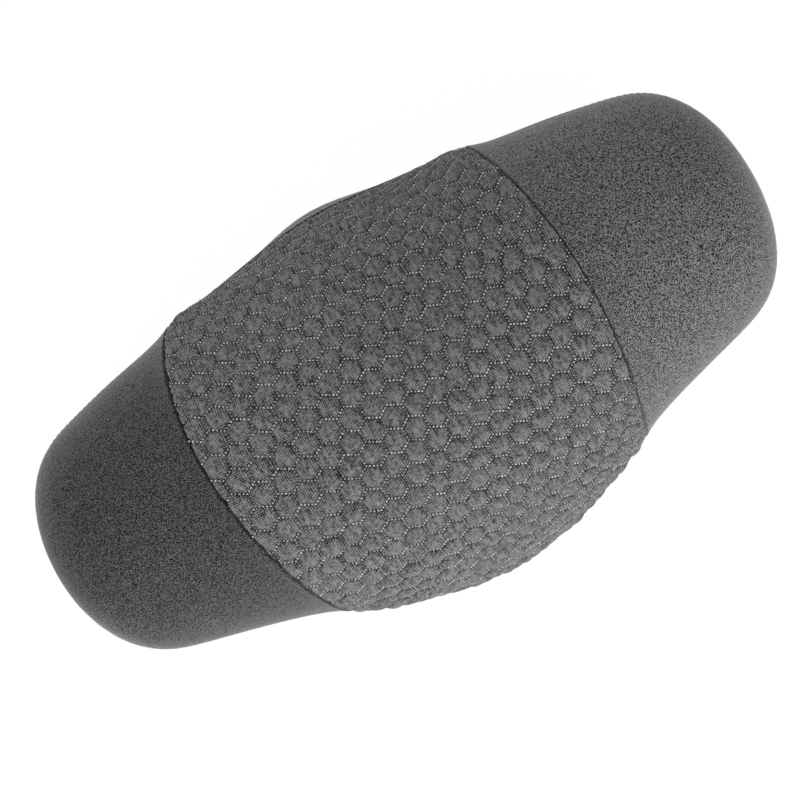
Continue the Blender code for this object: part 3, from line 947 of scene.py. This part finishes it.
for name, side in (("left_end", -1), ("right_end", 1)):
    steps = spread(END_REACH, SEAM_STEPS, END_STEPS)[:, 0]
    turn = np.linspace(-1, 1, 2 * GIRTH_STEPS - 1)[None] * math.pi / 2
    turn = turn + np.zeros((END_STEPS + len(TIP_STEPS) - 1, 1))
    for _ in range(3):
        start = place_of(cross_seam(side, turn) + side * SEAM_HALF_GAP)
        reach = side * (2 - TIP_STEPS[0]) - start[:1]
        body = start[:END_STEPS] + reach * steps[:, None]
        tip_rows = side * (2 - np.asarray(TIP_STEPS[1:]))[:, None] + 0 * start[:1]
        x = along(np.concatenate([body, tip_rows]))
        turn = round_roll_steps(x, edge_turn(x)) * edge_turn(x)
    from_seam = np.abs(x - cross_seam(side, turn))
    away = np.minimum(from_seam - SEAM_HALF_GAP, half_width(x) * (edge_turn(x) - np.abs(turn)))
    flare = FLARE * np.exp(-from_seam / FLARE_REACH)
    lifts = PANEL_DEPTH + (flare - PANEL_DEPTH) * rim_profile(away)
    plain_panel(name, x, turn, lifts, 1, (None, side * LENGTH / 2))

straight_places = np.linspace(-1, 1, BACK_STEPS) * (2 - TIP_STEPS[0])
places = np.concatenate([-2 + np.asarray(TIP_STEPS[::-1]), straight_places, 2 - np.asarray(TIP_STEPS)])
places = np.unique(np.round(places, 6))
x = along(places)[:, None] + np.zeros((1, 2 * GIRTH_STEPS - 1))
behind = math.pi - edge_turn(x)
turn = math.pi + round_roll_steps(x, behind) * behind
away = half_width(x) * (behind - np.abs(turn - math.pi))
bulge = np.exp(-((x - BULGE_PLACE[0]) / BULGE_SIZE[0]) ** 2 - ((away - BULGE_PLACE[1]) / BULGE_SIZE[1]) ** 2)
flare = BACK_FLARE * swell(x) * np.exp(-away / FLARE_REACH) + BACK_BULGE * bulge
lifts = PANEL_DEPTH + (flare - PANEL_DEPTH) * rim_profile(away)
plain_panel("back", x, turn, lifts, -1, (-LENGTH / 2, LENGTH / 2))

# Sewing threads
# Polyester thread, lockstitched from the inside. It only shows as a dark line down in each seam, coloured
# near black as painted shadow of the seam's gap, and it rises and dips with each stitch.

SEWN_STITCH = 0.0025
STITCH_STEPS = 6                       # points of the thread to a stitch
THREAD_DIAMETER = 0.00048
THREAD_DEPTH = 0.0002
THREAD_PLAY = 0.0001                   # how far it rises and dips
CROSS_SEAM_STEPS = 200
EDGE_SEAM_STEPS = 401

# Spun polyester, dull. Its near black is painted shadow of the seam's gap.
# Its plies give it a slight unevenness, and it reads as a black line.
THREAD_PAINTED_SHADOW_DARK = "#040405"
THREAD_PAINTED_SHADOW_PLY = "#0f0f10"
PLY_SIZE = 0.0004

material, shader = new_material("polyester_thread_painted_seam_shadow")
spots = add(material, "ShaderNodeTexCoord")
ply = add(material, "ShaderNodeTexNoise", {"Vector": spots.outputs["Object"], "Scale": 1 / PLY_SIZE})
tone = add(material, "ShaderNodeValToRGB", {"Fac": ply.outputs["Fac"]})
tone.color_ramp.elements[0].color = linear(THREAD_PAINTED_SHADOW_DARK)
tone.color_ramp.elements[1].color = linear(THREAD_PAINTED_SHADOW_PLY)
feed(material, tone.outputs["Color"], shader, "Base Color")
shader.inputs["Roughness"].default_value = 0.9
shader.inputs["Specular IOR Level"].default_value = 0.2


def sew(name, x, turn, closed):
    """A thread along a seam, given by its places on the roll."""
    on_top = roll_surface(x, turn, 0.0)
    walked = np.concatenate([[0], np.cumsum(np.linalg.norm(np.diff(on_top, axis=0), axis=1))])
    even = np.arange(0, walked[-1], SEWN_STITCH / STITCH_STEPS)
    x, turn = np.interp(even, walked, x), np.interp(even, walked, turn)
    depth = THREAD_DEPTH + THREAD_PLAY * np.cos(2 * math.pi * even / SEWN_STITCH)
    path = bpy.data.curves.new(name, "CURVE")
    path.dimensions = "3D"
    path.bevel_depth = THREAD_DIAMETER / 2
    path.bevel_resolution = 1
    path.use_fill_caps = not closed
    line = path.splines.new("POLY")
    route = roll_surface(x, turn, puff(x, turn) - depth)
    line.points.add(len(route) - 1)
    line.points.foreach_set("co", np.concatenate([route, np.ones((len(route), 1))], axis=1).ravel())
    line.use_cyclic_u = closed
    thread = bpy.data.objects.new(name, path)
    bpy.context.scene.collection.objects.link(thread)
    bpy.ops.object.select_all(action="DESELECT")
    thread.select_set(True)
    bpy.context.view_layer.objects.active = thread
    bpy.ops.object.convert(target="MESH")
    thread = bpy.context.object
    bm = bmesh.new()
    bm.from_mesh(thread.data)
    bmesh.ops.remove_doubles(bm, verts=bm.verts[:], dist=MERGING)
    bmesh.ops.recalc_face_normals(bm, faces=bm.faces[:])
    bm.to_mesh(thread.data)
    bm.free()
    thread.data.materials.clear()
    thread.data.materials.append(material)
    thread.data.shade_smooth()
    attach(thread, "root")
    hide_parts(name + "_thread")


for name, side in (("left_cross_seam", -1), ("right_cross_seam", 1)):
    turn = np.linspace(-1, 1, CROSS_SEAM_STEPS) * edge_turn(CROSS_SEAM_PLACE)
    sew(name, cross_seam(side, turn), turn, False)
around = np.linspace(-2, 2, EDGE_SEAM_STEPS)
x = along(np.concatenate([around, around[-2:0:-1]]))
turn = np.concatenate([edge_turn(x[:EDGE_SEAM_STEPS]), -edge_turn(x[EDGE_SEAM_STEPS:])])
sew("edge_seam", x, turn, True)
